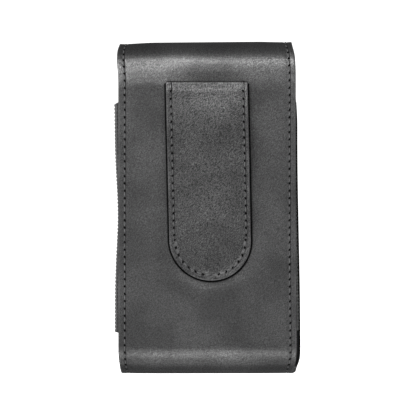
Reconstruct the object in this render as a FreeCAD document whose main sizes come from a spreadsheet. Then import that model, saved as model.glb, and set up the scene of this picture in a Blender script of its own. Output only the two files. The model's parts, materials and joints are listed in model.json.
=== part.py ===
"""Upright leather belt pouch for a compact camera: wrap-round body, elastic gussets, belt loop, folding flap.

Millimetres. +Z is up, the flap closes over the -Y side, the belt loop is on the +Y side, X = 0 is the middle,
Z = 0 is the underside of the base and Y = 0 is the middle of the pocket's depth.
"""
import FreeCAD
import Part
import Sketcher
import math
import os

# Driving sizes, written once and kept in the spreadsheet.
SIZES = {
    "case_width": 74.4,
    "case_height": 139.4,
    "pocket_depth": 34.0,
    "base_bend": 12.0,
    "top_bend": 13.0,
    # Wall layers from the outside in; the elastic is as thick as the board beside it.
    "leather": 1.2,
    "board": 0.8,
    "lining": 0.6,
    # Flap.
    "flap_gap": 2.0,
    "mouth_level": 115.0,
    "flap_end": 58.0,
    "flap_corner": 22.0,
    "fold_gap": 0.3,
    "fold_angle": 45.0,
    # Seams: a groove in the leather with the thread lying just below its edges.
    "seam_margin": 2.4,
    "thread_width": 0.7,
    "thread_height": 0.35,
    "thread_sink": 0.05,
    # Elastic gussets.
    "gusset_foot": 17.4,
    "gusset_flange": 4.3,
    "gusset_bulge": 1.2,
    "gusset_drop": 0.2,
    "board_gap": 0.2,
    # Belt loop.
    "loop_width": 34.2,
    "loop_foot": 38.6,
    "loop_head": 122.2,
    "loop_ease": 60.0,
    "loop_bow": 70.0,
    "loop_tuck": 15.0,
    "loop_flat": 0.3,
    "loop_tab": 17.4,
    "loop_fold": 0.4,
    "strap_leather": 1.1,
    "strap_core": 0.7,
    "strap_lining": 0.5,
    "loop_margin": 2.0,
    "anchor_margin": 2.6,
    "tab_seam": 11.4,
    "tab_seam_margin": 5.0,
    # Magnetic snap.
    "snap_level": 72.0,
    "snap_diameter": 14.0,
    "magnet_height": 1.8,
    "plate_height": 0.9,
    "post_base": 4.4,
    "post_tip": 2.8,
    "post_height": 1.2,
    "magnet_bore": 5.6,
    "bore_depth": 1.5,
    "stem_diameter": 3.0,
    "washer_diameter": 11.0,
    "washer_height": 0.4,
    "fit_gap": 0.2,
}

document = FreeCAD.newDocument("belt_pouch")
sheet = document.addObject("Spreadsheet::Sheet", "dims")
for row, (alias, size) in enumerate(SIZES.items(), start=1):
    sheet.set(f"A{row}", alias)
    sheet.set(f"B{row}", str(size))
    sheet.setAlias(f"B{row}", alias)
document.recompute()

# Places worked out from the driving sizes, as expressions.
HALF_WIDTH = "(dims.case_width / 2)"
BACK = "(dims.pocket_depth / 2)"
WALL = "(dims.leather + dims.board + dims.lining)"
FLAP_FACE = f"({BACK} + dims.flap_gap + {WALL})"
BEND_LEVEL = "(dims.case_height - dims.top_bend)"
FOLD_TRIM = "(dims.fold_gap / 2 / dims.top_bend * 180 / pi)"
LEATHER_DEPTH = "dims.leather"
BOARD_DEPTH = "(dims.leather + dims.board)"
GUSSET_HEAD = "(dims.mouth_level - dims.gusset_drop)"
THREAD_DEPTH = "(dims.thread_sink + dims.thread_height)"
GROOVE_WIDTH = "(dims.thread_width + 2 * dims.thread_sink)"
SEAM_PLACE = f"({HALF_WIDTH} - dims.seam_margin)"
STRAP = "(dims.strap_leather + dims.strap_core + dims.strap_lining)"
LOOP_FOOT_END = "(dims.loop_foot + dims.loop_width / 2 + dims.loop_flat)"
LOOP_CROWN_Y = f"({BACK} + {STRAP} + dims.loop_fold)"
LOOP_CROWN = f"(dims.loop_head - dims.loop_fold - {STRAP})"
# The front leg leans out from the foot over loop_ease, then bows back over loop_bow until it tucks into the fold.
LOOP_TURN = "(dims.loop_bow - dims.loop_fold)"
LOOP_BOW_Y = f"({LOOP_CROWN_Y} - {LOOP_TURN} * cos(dims.loop_tuck))"
LOOP_BOW_Z = f"({LOOP_CROWN} - {LOOP_TURN} * sin(dims.loop_tuck))"
LOOP_SPREAD = f"({BACK} + dims.loop_ease - {LOOP_BOW_Y})"
LOOP_CLIMB = f"({LOOP_BOW_Z} - {LOOP_FOOT_END})"
LOOP_REACH = f"sqrt({LOOP_SPREAD} ^ 2 + {LOOP_CLIMB} ^ 2)"
LOOP_LEAN = f"(atan({LOOP_CLIMB} / {LOOP_SPREAD}) - acos((dims.loop_ease + dims.loop_bow) / {LOOP_REACH}))"
CLEAR = 5.0  # how far cutting shapes reach past what they cut


def number(expression):
    """The value an expression has in the sheet."""
    return float(sheet.evalExpression(expression))


class Path:
    """A run of straight and round stretches, each corner given by two expressions."""

    def __init__(self, across, up):
        self.corners = [(across, up)]
        self.rounds = []

    def line(self, across, up):
        self.corners.append((across, up))
        self.rounds.append(None)
        return self

    def arc(self, across, up, radius, turn):
        """A round stretch to the corner; turn is 1 for a left turn and -1 for a right turn."""
        self.corners.append((across, up))
        self.rounds.append((radius, turn))
        return self

    def reversed(self):
        other = Path(*self.corners[-1])
        other.corners = self.corners[::-1]
        other.rounds = [bend and (bend[0], -bend[1]) for bend in self.rounds[::-1]]
        return other

    def mirrored(self):
        other = Path(*self.corners[0])
        other.corners = [(f"-({across})", up) for across, up in self.corners]
        other.rounds = [bend and (bend[0], -bend[1]) for bend in self.rounds]
        return other

    def joined(self, other):
        """This path, a straight stretch, then the other path."""
        path = Path(*self.corners[0])
        path.corners = self.corners + other.corners
        path.rounds = self.rounds + [None] + other.rounds
        return path


def band(route, near, far):
    """The closed outline between two depths of a route."""
    return route(near).joined(route(far).reversed())


def rectangle(left, low, right, high):
    return Path(left, low).line(right, low).line(right, high).line(left, high)


def bind(sketch, constraint, expression):
    index = sketch.addConstraint(constraint)
    name = f"size{index}"
    sketch.renameConstraint(index, name)
    sketch.setExpression(f"Constraints.{name}", expression)


def pin(sketch, geometry, end, across, up):
    """Ties one end of a piece of geometry to its two places from the sketch's origin."""
    point = sketch.getPoint(geometry, end)
    bind(sketch, Sketcher.Constraint("DistanceX", -1, 1, geometry, end, point.x), across)
    bind(sketch, Sketcher.Constraint("DistanceY", -1, 1, geometry, end, point.y), up)


def add_stretch(sketch, start, finish, bend):
    """Adds one stretch; gives its index and which of its ends comes first and last."""
    if bend is None:
        return sketch.addGeometry(Part.LineSegment(start, finish), False), 1, 2
    radius, turn = number(bend[0]), bend[1]
    chord = finish - start
    apart = math.sqrt(max(radius ** 2 - (chord.Length / 2) ** 2, 0.0))
    side = FreeCAD.Vector(-chord.y, chord.x, 0).normalize() * turn
    centre = (start + finish) / 2 + side * apart
    first, last = (start, finish) if turn > 0 else (finish, start)
    angles = [math.atan2(point.y - centre.y, point.x - centre.x) for point in (first, last)]
    circle = Part.Circle(centre, FreeCAD.Vector(0, 0, 1), radius)
    index = sketch.addGeometry(Part.ArcOfCircle(circle, angles[0], angles[1]), False)
    return (index, 1, 2) if turn > 0 else (index, 2, 1)


def add_outline(sketch, path):
    """Adds a closed outline whose corners and radii all follow the sheet."""
    corners = path.corners
    spots = [FreeCAD.Vector(number(across), number(up), 0) for across, up in corners]
    bends = path.rounds + [None]
    ends = []
    for order, bend in enumerate(bends):
        ends.append(add_stretch(sketch, spots[order], spots[(order + 1) % len(spots)], bend))
    for order, (index, first, last) in enumerate(ends):
        following = ends[(order + 1) % len(ends)]
        sketch.addConstraint(Sketcher.Constraint("Coincident", index, last, following[0], following[1]))
        pin(sketch, index, first, *corners[order])
        if bends[order]:
            radius = Sketcher.Constraint("Radius", index, number(bends[order][0]))
            bind(sketch, radius, bends[order][0])


def add_circle(sketch, across, up, radius):
    centre = FreeCAD.Vector(number(across), number(up), 0)
    circle = Part.Circle(centre, FreeCAD.Vector(0, 0, 1), number(radius))
    index = sketch.addGeometry(circle, False)
    pin(sketch, index, 3, across, up)
    bind(sketch, Sketcher.Constraint("Radius", index, number(radius)), radius)


def new_body(label):
    body = document.addObject("PartDesign::Body", label)
    body.Label = label
    body.AllowCompound = True
    return body


def new_sketch(body, plane, offset=None):
    """An empty sketch on one of the body's origin planes; offset is how far along the plane's normal."""
    sketch = body.newObject("Sketcher::SketchObject", f"{body.Name}_sketch")
    support = [entry for entry in body.Origin.OriginFeatures if entry.Role == plane][0]
    sketch.AttachmentSupport = [(support, "")]
    sketch.MapMode = "FlatFace"
    if offset:
        sketch.setExpression("AttachmentOffset.Base.z", offset)
    return sketch


def shape_outline(body, plane, path, offset=None):
    sketch = new_sketch(body, plane, offset)
    add_outline(sketch, path)
    return sketch


def pad(body, sketch, length, side="Symmetric", backward=False):
    """Adds material along the sketch's normal."""
    feature = body.newObject("PartDesign::Pad", f"{body.Name}_pad")
    feature.Profile = sketch
    feature.SideType = side
    feature.Reversed = backward
    feature.setExpression("Length", length)
    document.recompute()
    return feature


def pocket(body, sketch, length, side="Symmetric", backward=False):
    """Takes material away and makes sure that some really went."""
    document.recompute()
    before = body.Shape.Volume
    feature = body.newObject("PartDesign::Pocket", f"{body.Name}_pocket")
    feature.Profile = sketch
    feature.SideType = side
    feature.Reversed = backward
    feature.setExpression("Length", length)
    document.recompute()
    if body.Shape.Volume >= before - 1e-6:
        raise RuntimeError(f"{feature.Name} cuts nothing")
    return feature


def mirror(body, feature):
    """Repeats a feature on the other side of X = 0."""
    mirrored = body.newObject("PartDesign::Mirrored", f"{body.Name}_mirrored")
    mirrored.Originals = [feature]
    plane = [entry for entry in body.Origin.OriginFeatures if entry.Role == "YZ_Plane"][0]
    mirrored.MirrorPlane = (plane, [""])
    body.Tip = mirrored
    document.recompute()
    return mirrored


def across_body(label, path, length=None):
    """A body whose side outline runs through its whole width."""
    body = new_body(label)
    pad(body, shape_outline(body, "YZ_Plane", path), length or "dims.case_width")
    return body


def cut_side_groove(body, path, place, both=True):
    """Cuts a thread groove that follows a side outline at one distance from the middle, or at both sides."""
    sketch = shape_outline(body, "YZ_Plane", path, place)
    feature = pocket(body, sketch, GROOVE_WIDTH)
    if both:
        mirror(body, feature)


# Routes: each gives the path that lies at one depth below the outer face.

def on_bend(side, angle, depth):
    """The point of a top bend at an angle from +Y; side is 1 for the rear bend and -1 for the front one."""
    middle = f"({BACK} - dims.top_bend)" if side > 0 else f"(dims.top_bend - {FLAP_FACE})"
    reach = f"(dims.top_bend - ({depth}))"
    return f"{middle} + {reach} * cos({angle})", f"{BEND_LEVEL} + {reach} * sin({angle})"


def wall_route(depth, low_front="dims.mouth_level"):
    """Down the pocket's front, under the base, up the back and over to the rear fold."""
    face = f"({BACK} - ({depth}))"
    flat = f"({BACK} - dims.base_bend)"
    base_radius = f"dims.base_bend - ({depth})"
    path = Path(f"-{face}", low_front)
    path.line(f"-{face}", "dims.base_bend")
    path.arc(f"-{flat}", depth, base_radius, 1)
    path.line(flat, depth)
    path.arc(face, "dims.base_bend", base_radius, 1)
    path.line(face, BEND_LEVEL)
    fold = on_bend(1, f"dims.fold_angle - {FOLD_TRIM}", depth)
    path.arc(fold[0], fold[1], f"dims.top_bend - ({depth})", 1)
    return path


def base_route(depth):
    """Round the base only, between the feet of the two gussets."""
    face = f"({BACK} - ({depth}))"
    flat = f"({BACK} - dims.base_bend)"
    base_radius = f"dims.base_bend - ({depth})"
    path = Path(f"-{face}", "dims.gusset_foot")
    path.line(f"-{face}", "dims.base_bend")
    path.arc(f"-{flat}", depth, base_radius, 1)
    path.line(flat, depth)
    path.arc(face, "dims.base_bend", base_radius, 1)
    path.line(face, "dims.gusset_foot")
    return path


def back_route(depth):
    """Up the back from the gussets' feet and over to the rear fold."""
    face = f"({BACK} - ({depth}))"
    path = Path(face, "dims.gusset_foot").line(face, BEND_LEVEL)
    fold = on_bend(1, f"dims.fold_angle - {FOLD_TRIM}", depth)
    path.arc(fold[0], fold[1], f"dims.top_bend - ({depth})", 1)
    return path


def front_route(depth):
    """Down the pocket's front to the gussets' feet."""
    face = f"-({BACK} - ({depth}))"
    return Path(face, "dims.mouth_level").line(face, "dims.gusset_foot")


def flap_top_route(depth):
    """Over the top from the rear fold to the front fold."""
    radius = f"dims.top_bend - ({depth})"
    level = f"dims.case_height - ({depth})"
    path = Path(*on_bend(1, f"dims.fold_angle + {FOLD_TRIM}", depth))
    path.arc(f"{BACK} - dims.top_bend", level, radius, 1)
    path.line(f"dims.top_bend - {FLAP_FACE}", level)
    fold = on_bend(-1, f"180 - dims.fold_angle - {FOLD_TRIM}", depth)
    path.arc(fold[0], fold[1], radius, 1)
    return path


def flap_front_route(depth):
    """Down the front from the front fold to the flap's lower edge."""
    radius = f"dims.top_bend - ({depth})"
    face = f"({depth}) - {FLAP_FACE}"
    path = Path(*on_bend(-1, f"180 - dims.fold_angle + {FOLD_TRIM}", depth))
    path.arc(face, BEND_LEVEL, radius, 1)
    path.line(face, "dims.flap_end")
    return path


def flap_side_seam_route(depth):
    """The flap's front stitching from the front fold down to where its corners start to round."""
    path = flap_front_route(depth)
    path.corners[-1] = (path.corners[-1][0], "dims.flap_end + dims.flap_corner")
    return path


def loop_front_route(height):
    """Up the belt loop's front leg and over half its fold, at a height above the strap's inner face."""
    ease = f"(dims.loop_ease - ({height}))"
    bow = f"(dims.loop_bow + ({height}))"
    fold = f"(dims.loop_fold + ({height}))"
    path = Path(f"{BACK} + ({height})", LOOP_FOOT_END)
    ease_end = f"{BACK} + dims.loop_ease - {ease} * cos{LOOP_LEAN}"
    path.arc(ease_end, f"{LOOP_FOOT_END} + {ease} * sin{LOOP_LEAN}", ease, -1)
    path.line(f"{LOOP_BOW_Y} + {bow} * cos{LOOP_LEAN}", f"{LOOP_BOW_Z} - {bow} * sin{LOOP_LEAN}")
    bow_end = f"{LOOP_BOW_Y} + {bow} * cos(dims.loop_tuck)"
    path.arc(bow_end, f"{LOOP_BOW_Z} + {bow} * sin(dims.loop_tuck)", bow, 1)
    path.arc(LOOP_CROWN_Y, f"{LOOP_CROWN} + {fold}", fold, 1)
    return path


def loop_route(height):
    """The whole strap: sewn foot, front leg, fold and the hidden tab behind it."""
    foot = Path(f"{BACK} + ({height})", "dims.loop_foot")
    path = foot.joined(loop_front_route(height))
    tab = f"{BACK} + {STRAP} - ({height})"
    path.arc(tab, LOOP_CROWN, f"dims.loop_fold + ({height})", 1)
    path.line(tab, "dims.loop_head - dims.loop_tab")
    return path


def foot_corners():
    """What is cut away to round the strap's lower end, as a side strip with a half-round top edge."""
    half = "(dims.loop_width / 2)"
    level = f"dims.loop_foot + {half}"
    outside = f"({half} + {CLEAR})"
    path = Path(f"-{outside}", f"dims.loop_foot - {CLEAR}")
    path.line(outside, f"dims.loop_foot - {CLEAR}")
    path.line(outside, level)
    path.line(half, level)
    path.arc("0", "dims.loop_foot", half, -1)
    path.arc(f"-{half}", level, half, -1)
    path.line(f"-{outside}", level)
    return path


def flap_corner_cut():
    """What is cut away to round one lower corner of the flap."""
    level = "dims.flap_end + dims.flap_corner"
    inner = f"{HALF_WIDTH} - dims.flap_corner"
    path = Path(inner, "dims.flap_end")
    path.arc(HALF_WIDTH, level, "dims.flap_corner", 1)
    path.line(f"{HALF_WIDTH} + {CLEAR}", level)
    path.line(f"{HALF_WIDTH} + {CLEAR}", f"dims.flap_end - {CLEAR}")
    path.line(inner, f"dims.flap_end - {CLEAR}")
    return path


def flap_seam_run(inset):
    """The flap's lower stitching at one distance inside its edge, from left corner to right corner."""
    level = "dims.flap_end + dims.flap_corner"
    side = f"({HALF_WIDTH} - ({inset}))"
    radius = f"(dims.flap_corner - ({inset}))"
    path = Path(f"-{side}", level)
    path.arc(f"dims.flap_corner - {HALF_WIDTH}", f"dims.flap_end + ({inset})", radius, 1)
    path.line(f"{HALF_WIDTH} - dims.flap_corner", f"dims.flap_end + ({inset})")
    path.arc(side, level, radius, 1)
    return path


def anchor_run(inset):
    """The U of stitching round the belt loop's foot, at one distance inside its edge."""
    half = "(dims.loop_width / 2)"
    radius = f"({half} - ({inset}))"
    level = f"dims.loop_foot + {half}"
    path = Path(f"-{radius}", level)
    path.arc("0", f"dims.loop_foot + ({inset})", radius, 1)
    path.arc(radius, level, radius, 1)
    return path


def groove_band(route):
    """Side outline of a thread groove: from outside the leather down to the thread's depth."""
    return band(route, f"-{CLEAR}", THREAD_DEPTH)


def shallow_groove_band(route):
    """Side outline of a thread groove where the route can't be moved far outside the leather."""
    return band(route, f"-{THREAD_DEPTH}", THREAD_DEPTH)


def thread_band(route):
    return band(route, "dims.thread_sink", THREAD_DEPTH)


def strap_groove_band(route):
    return band(route, f"{STRAP} - {THREAD_DEPTH}", f"{STRAP} + {THREAD_DEPTH}")


def strap_thread_band(route):
    return band(route, f"{STRAP} - {THREAD_DEPTH}", f"{STRAP} - dims.thread_sink")


def run_strip(run, inset, width):
    """The closed outline of a strip of one width along a run at an inset."""
    return band(run, f"{inset} - {width} / 2", f"{inset} + {width} / 2")


def mouth_strip(width):
    level = "(dims.mouth_level - dims.seam_margin)"
    side = f"({SEAM_PLACE} - {GROOVE_WIDTH} / 2)"
    return rectangle(f"-{side}", f"{level} - {width} / 2", side, f"{level} + {width} / 2")


def round_hole(body, diameter, face, length):
    """A round hole for the snap, cut from a face on the -Y side towards +Y."""
    sketch = new_sketch(body, "XZ_Plane", face)
    add_circle(sketch, "0", "dims.snap_level", f"({diameter}) / 2")
    pocket(body, sketch, length, side="One side")


# Wall of the pocket.

def make_shell_leather():
    body = across_body("shell_leather", band(wall_route, "0", LEATHER_DEPTH))
    cut_side_groove(body, shallow_groove_band(wall_route), SEAM_PLACE)
    mouth = shape_outline(body, "XZ_Plane", mouth_strip(GROOVE_WIDTH), BACK)
    pocket(body, mouth, THREAD_DEPTH, side="One side")
    round_hole(body, "dims.stem_diameter", BACK, "dims.leather")


def make_shell_lining():
    across_body("shell_lining", band(wall_route, BOARD_DEPTH, WALL))


def cut_flange_room(body, face):
    """Leaves room beside a board for the gussets' sewn edges."""
    room = rectangle(
        f"{HALF_WIDTH} - dims.gusset_flange - dims.board_gap", "dims.gusset_foot",
        f"{HALF_WIDTH} + {CLEAR}", "dims.mouth_level",
    )
    sketch = shape_outline(body, "XZ_Plane", room, face)
    mirror(body, pocket(body, sketch, "dims.board", side="One side"))


def make_back_board():
    body = across_body("back_board", band(back_route, LEATHER_DEPTH, BOARD_DEPTH))
    cut_flange_room(body, f"{BOARD_DEPTH} - {BACK}")


def make_front_board():
    body = across_body("front_board", band(front_route, LEATHER_DEPTH, BOARD_DEPTH))
    cut_flange_room(body, f"{BACK} - {LEATHER_DEPTH}")
    round_hole(body, "dims.washer_diameter + 2 * dims.fit_gap", f"{BACK} - {LEATHER_DEPTH}", "dims.board")


def make_base_board():
    across_body("base_board", band(base_route, LEATHER_DEPTH, BOARD_DEPTH))


def gusset_outline():
    """The right gusset from above: two sewn edges joined by a strip that bows outwards."""
    inner_edge = f"({HALF_WIDTH} - dims.gusset_flange)"
    outer_corner = f"({HALF_WIDTH} + dims.board)"
    outer_face = f"({BACK} - {LEATHER_DEPTH})"
    inner_face = f"({BACK} - {BOARD_DEPTH})"
    bulge = "dims.gusset_bulge"
    outer_radius = f"(({outer_face} ^ 2 + {bulge} ^ 2) / (2 * {bulge}))"
    inner_radius = f"(({inner_face} ^ 2 + {bulge} ^ 2) / (2 * {bulge}))"
    path = Path(inner_edge, f"-{outer_face}")
    path.line(outer_corner, f"-{outer_face}")
    path.arc(outer_corner, outer_face, outer_radius, 1)
    path.line(inner_edge, outer_face)
    path.line(inner_edge, inner_face)
    path.line(HALF_WIDTH, inner_face)
    path.arc(HALF_WIDTH, f"-{inner_face}", inner_radius, -1)
    path.line(inner_edge, f"-{inner_face}")
    return path


def make_gussets():
    right = gusset_outline()
    for label, path in (("right_gusset", right), ("left_gusset", right.mirrored())):
        body = new_body(label)
        sketch = shape_outline(body, "XY_Plane", path, "dims.gusset_foot")
        pad(body, sketch, f"{GUSSET_HEAD} - dims.gusset_foot", side="One side")


def make_seam_threads():
    for label, place in (("right_seam_thread", SEAM_PLACE), ("left_seam_thread", f"-{SEAM_PLACE}")):
        body = new_body(label)
        sketch = shape_outline(body, "YZ_Plane", thread_band(wall_route), place)
        pad(body, sketch, "dims.thread_width")
    body = new_body("mouth_thread")
    sketch = shape_outline(body, "XZ_Plane", mouth_strip("dims.thread_width"), f"{BACK} - dims.thread_sink")
    pad(body, sketch, "dims.thread_height", side="One side", backward=True)


# Belt loop.

def round_foot(body):
    sketch = shape_outline(body, "XZ_Plane", foot_corners())
    pocket(body, sketch, f"2 * ({BACK} + 2 * {STRAP} + {CLEAR})")


def make_loop():
    layers = (
        ("loop_lining", "0", "dims.strap_lining"),
        ("loop_core", "dims.strap_lining", "dims.strap_lining + dims.strap_core"),
        ("loop_leather", "dims.strap_lining + dims.strap_core", STRAP),
    )
    for label, near, far in layers:
        body = across_body(label, band(loop_route, near, far), "dims.loop_width")
        round_foot(body)
    place = "(dims.loop_width / 2 - dims.loop_margin)"
    cut_side_groove(body, strap_groove_band(loop_front_route), place)
    anchor = run_strip(anchor_run, "dims.anchor_margin", GROOVE_WIDTH)
    face = f"-({BACK} + {STRAP})"
    pocket(body, shape_outline(body, "XZ_Plane", anchor, face), THREAD_DEPTH, side="One side", backward=True)


def make_loop_threads():
    place = "(dims.loop_width / 2 - dims.loop_margin)"
    body = new_body("loop_side_threads")
    sketch = shape_outline(body, "YZ_Plane", strap_thread_band(loop_front_route), place)
    mirror(body, pad(body, sketch, "dims.thread_width"))
    body = new_body("loop_anchor_thread")
    anchor = run_strip(anchor_run, "dims.anchor_margin", "dims.thread_width")
    sketch = shape_outline(body, "XZ_Plane", anchor, f"dims.thread_sink - {BACK} - {STRAP}")
    pad(body, sketch, "dims.thread_height", side="One side")
    body = new_body("loop_top_thread")
    level = "(dims.loop_head - dims.tab_seam)"
    side = "(dims.loop_width / 2 - dims.tab_seam_margin)"
    row = rectangle(f"-{side}", f"{level} - dims.thread_width / 2", side, f"{level} + dims.thread_width / 2")
    sketch = shape_outline(body, "XZ_Plane", row, f"-({BACK} + {STRAP})")
    pad(body, sketch, "dims.thread_height", side="One side", backward=True)


# Flap.

def make_flap_top():
    body = across_body("flap_top_leather", band(flap_top_route, "0", LEATHER_DEPTH))
    cut_side_groove(body, shallow_groove_band(flap_top_route), SEAM_PLACE)
    across_body("flap_top_board", band(flap_top_route, LEATHER_DEPTH, BOARD_DEPTH))
    across_body("flap_top_lining", band(flap_top_route, BOARD_DEPTH, WALL))
    body = new_body("flap_top_threads")
    sketch = shape_outline(body, "YZ_Plane", thread_band(flap_top_route), SEAM_PLACE)
    mirror(body, pad(body, sketch, "dims.thread_width"))


def round_flap(body):
    sketch = shape_outline(body, "XZ_Plane", flap_corner_cut())
    mirror(body, pocket(body, sketch, f"2 * ({FLAP_FACE} + {CLEAR})"))


def make_flap_front():
    body = across_body("flap_front_leather", band(flap_front_route, "0", LEATHER_DEPTH))
    round_flap(body)
    cut_side_groove(body, shallow_groove_band(flap_side_seam_route), SEAM_PLACE)
    run = run_strip(flap_seam_run, "dims.seam_margin", GROOVE_WIDTH)
    pocket(body, shape_outline(body, "XZ_Plane", run, FLAP_FACE), THREAD_DEPTH, side="One side")

    body = across_body("flap_front_board", band(flap_front_route, LEATHER_DEPTH, BOARD_DEPTH))
    round_flap(body)
    snap_room = "dims.snap_diameter + 2 * dims.fit_gap"
    round_hole(body, snap_room, f"{FLAP_FACE} - {LEATHER_DEPTH}", "dims.board")

    body = across_body("flap_front_lining", band(flap_front_route, BOARD_DEPTH, WALL))
    round_flap(body)
    round_hole(body, snap_room, f"{FLAP_FACE} - {BOARD_DEPTH}", "dims.lining")


def make_flap_thread():
    body = new_body("flap_front_thread")
    sketch = shape_outline(body, "YZ_Plane", thread_band(flap_side_seam_route), SEAM_PLACE)
    mirror(body, pad(body, sketch, "dims.thread_width"))
    run = run_strip(flap_seam_run, "dims.seam_margin", "dims.thread_width")
    sketch = shape_outline(body, "XZ_Plane", run, f"{FLAP_FACE} - dims.thread_sink")
    pad(body, sketch, "dims.thread_height", side="One side", backward=True)


# Magnetic snap: each piece is turned about a line along Y, then placed at the snap's level.

def turned_body(label, path, place):
    """Turns a half outline about its first direction; place is where its own zero lies along Y."""
    body = new_body(label)
    sketch = shape_outline(body, "YZ_Plane", path)
    feature = body.newObject("PartDesign::Revolution", f"{label}_turn")
    feature.Profile = sketch
    feature.ReferenceAxis = (sketch, ["H_Axis"])
    feature.Angle = 360
    body.setExpression("Placement.Base.y", place)
    body.setExpression("Placement.Base.z", "dims.snap_level")
    document.recompute()


def make_snap():
    leather_back = f"{LEATHER_DEPTH} - {FLAP_FACE}"
    stem = "(dims.stem_diameter / 2)"
    rim = "(dims.snap_diameter / 2)"
    washer_rim = "(dims.washer_diameter / 2)"
    bottom = "(dims.washer_height + dims.magnet_height)"

    magnet = Path("0", "0").line("0", stem).line("dims.washer_height", stem).line("dims.washer_height", rim)
    magnet.line(bottom, rim).line(bottom, "dims.magnet_bore / 2")
    magnet.line(f"{bottom} - dims.bore_depth", "dims.magnet_bore / 2").line(f"{bottom} - dims.bore_depth", "0")
    turned_body("snap_magnet", magnet, leather_back)

    plate_face = "-dims.plate_height"
    depth = "(dims.leather + dims.washer_height)"
    post = Path(f"{plate_face} - dims.post_height", "0")
    post.line(f"{plate_face} - dims.post_height", "dims.post_tip / 2")
    post.line(plate_face, "dims.post_base / 2").line(plate_face, rim).line("0", rim).line("0", stem)
    post.line(depth, stem).line(depth, "0")
    turned_body("snap_post", post, f"-{BACK}")

    washer = rectangle("0", stem, "dims.washer_height", washer_rim)
    turned_body("snap_flap_washer", washer, leather_back)
    turned_body("snap_pocket_washer", washer, f"{LEATHER_DEPTH} - {BACK}")


def write_parts():
    """Checks every object, then writes each body to its own file."""
    document.recompute()
    for item in document.Objects:
        if "Invalid" in item.State or "Error" in item.State:
            raise RuntimeError(f"{item.Name} failed")
    bodies = [item for item in document.Objects if item.TypeId == "PartDesign::Body"]
    for body in bodies:
        if body.Shape.isNull() or not body.Shape.isValid():
            raise RuntimeError(f"{body.Label} has no sound shape")
    os.makedirs("parts", exist_ok=True)
    for body in bodies:
        body.Shape.exportStep(f"parts/{body.Label}.step")
        print(body.Label, len(body.Shape.Solids), round(body.Shape.Volume, 1))


make_shell_leather()
make_shell_lining()
make_back_board()
make_front_board()
make_base_board()
make_gussets()
make_seam_threads()
make_loop()
make_loop_threads()
make_flap_top()
make_flap_front()
make_flap_thread()
make_snap()
write_parts()
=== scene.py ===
import json
import math
import random

import bmesh
import bpy
from mathutils import Matrix, Vector


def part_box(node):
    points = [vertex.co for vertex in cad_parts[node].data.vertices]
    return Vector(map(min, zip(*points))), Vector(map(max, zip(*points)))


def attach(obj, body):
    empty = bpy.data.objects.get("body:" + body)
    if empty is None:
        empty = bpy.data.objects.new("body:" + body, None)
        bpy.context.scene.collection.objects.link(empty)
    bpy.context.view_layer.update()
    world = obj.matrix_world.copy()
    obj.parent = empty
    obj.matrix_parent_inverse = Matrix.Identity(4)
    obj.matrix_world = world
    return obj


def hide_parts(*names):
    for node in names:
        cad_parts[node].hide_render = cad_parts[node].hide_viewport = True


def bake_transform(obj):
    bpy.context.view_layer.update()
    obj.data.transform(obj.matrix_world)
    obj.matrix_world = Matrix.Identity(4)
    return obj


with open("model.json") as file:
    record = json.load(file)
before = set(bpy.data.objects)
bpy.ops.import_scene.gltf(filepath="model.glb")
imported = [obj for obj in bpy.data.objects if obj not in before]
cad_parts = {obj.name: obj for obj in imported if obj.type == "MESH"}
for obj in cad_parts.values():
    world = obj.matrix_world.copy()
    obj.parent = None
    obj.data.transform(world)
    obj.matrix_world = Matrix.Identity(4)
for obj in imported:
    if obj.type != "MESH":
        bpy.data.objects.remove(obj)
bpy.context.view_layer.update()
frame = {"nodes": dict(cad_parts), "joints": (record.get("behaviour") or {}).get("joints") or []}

# The looks of an upright leather belt pouch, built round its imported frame.
# Lengths are in metres, and MM turns millimetres into them.
# The flap closes over the -Y side and the belt loop is on the +Y side, which the camera faces.
MM = 0.001

# Sizes of the body and the flap, read from the frame where it gives them.
SHELL_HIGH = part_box("shell_leather")[1]
HALF_WIDTH = SHELL_HIGH.x
BACK = SHELL_HIGH.y
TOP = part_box("flap_top_leather")[1].z
FLAP_FACE = -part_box("flap_front_leather")[0].y
FLAP_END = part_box("flap_front_leather")[0].z
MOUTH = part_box("front_board")[1].z
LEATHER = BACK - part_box("back_board")[1].y
BOARD_AND_LINING = 1.4 * MM
LINING_SHY = 0.15 * MM
FLAP_CORNER = 22 * MM
REAR_FOLD = next(joint for joint in frame["joints"] if joint["name"] == "flap_fold_rear")
TOP_BEND = (TOP - REAR_FOLD["pos_m"][2]) / (1 - math.sin(math.radians(45)))
BASE_BEND = 12 * MM
BEND_LEVEL = TOP - TOP_BEND
TOP_FLAT = FLAP_FACE + BACK - 2 * TOP_BEND

# Sewing.
SEAM_INSET = 2.7 * MM
SEAM_PITCH = 3.08 * MM
SEAM_THREAD = 0.6 * MM
STITCH_ENDS = (0.16, 0.84)  # as parts of the pitch
LOOP_SEAM_INSET = 2.0 * MM
LOOP_PITCH = 3.16 * MM
ANCHOR_INSET = 2.3 * MM

# Belt loop, its sizes read from the frame where its box gives them.
LOOP_LOW, LOOP_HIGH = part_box("loop_leather")
LOOP_HALF = LOOP_HIGH.x
ANCHOR_QUARTER = (LOOP_HALF - ANCHOR_INSET) * math.pi / 2
ANCHOR_PITCH = ANCHOR_QUARTER / 7
LOOP_RUN_START = LOOP_HALF - ANCHOR_QUARTER
STRAP = 2.3 * MM
STRAP_SKIN = 1.1 * MM
# How far the webbing stands out round the strap as a near-black rim, a painted contact shadow.
BACKING_SHADOW_RIM = 0.65 * MM
LOOP_LIFT = 0.7 * MM
FOLD_POWER = 3.8
LOOP_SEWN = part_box("loop_side_threads")[0].z - LOOP_LOW.z
LOOP_EASE = 60 * MM
LOOP_BOW = 70 * MM
LOOP_TUCK = math.radians(15)
LOOP_PINCH = 0.4 * MM
LOOP_LEAN = math.radians(1.25)
LOOP_SHIFT = -1.3 * MM
LOOP_TAB = 13.5 * MM
LOOP_HIDDEN = 18 * MM  # tucked in behind the strap, tab and all

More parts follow.
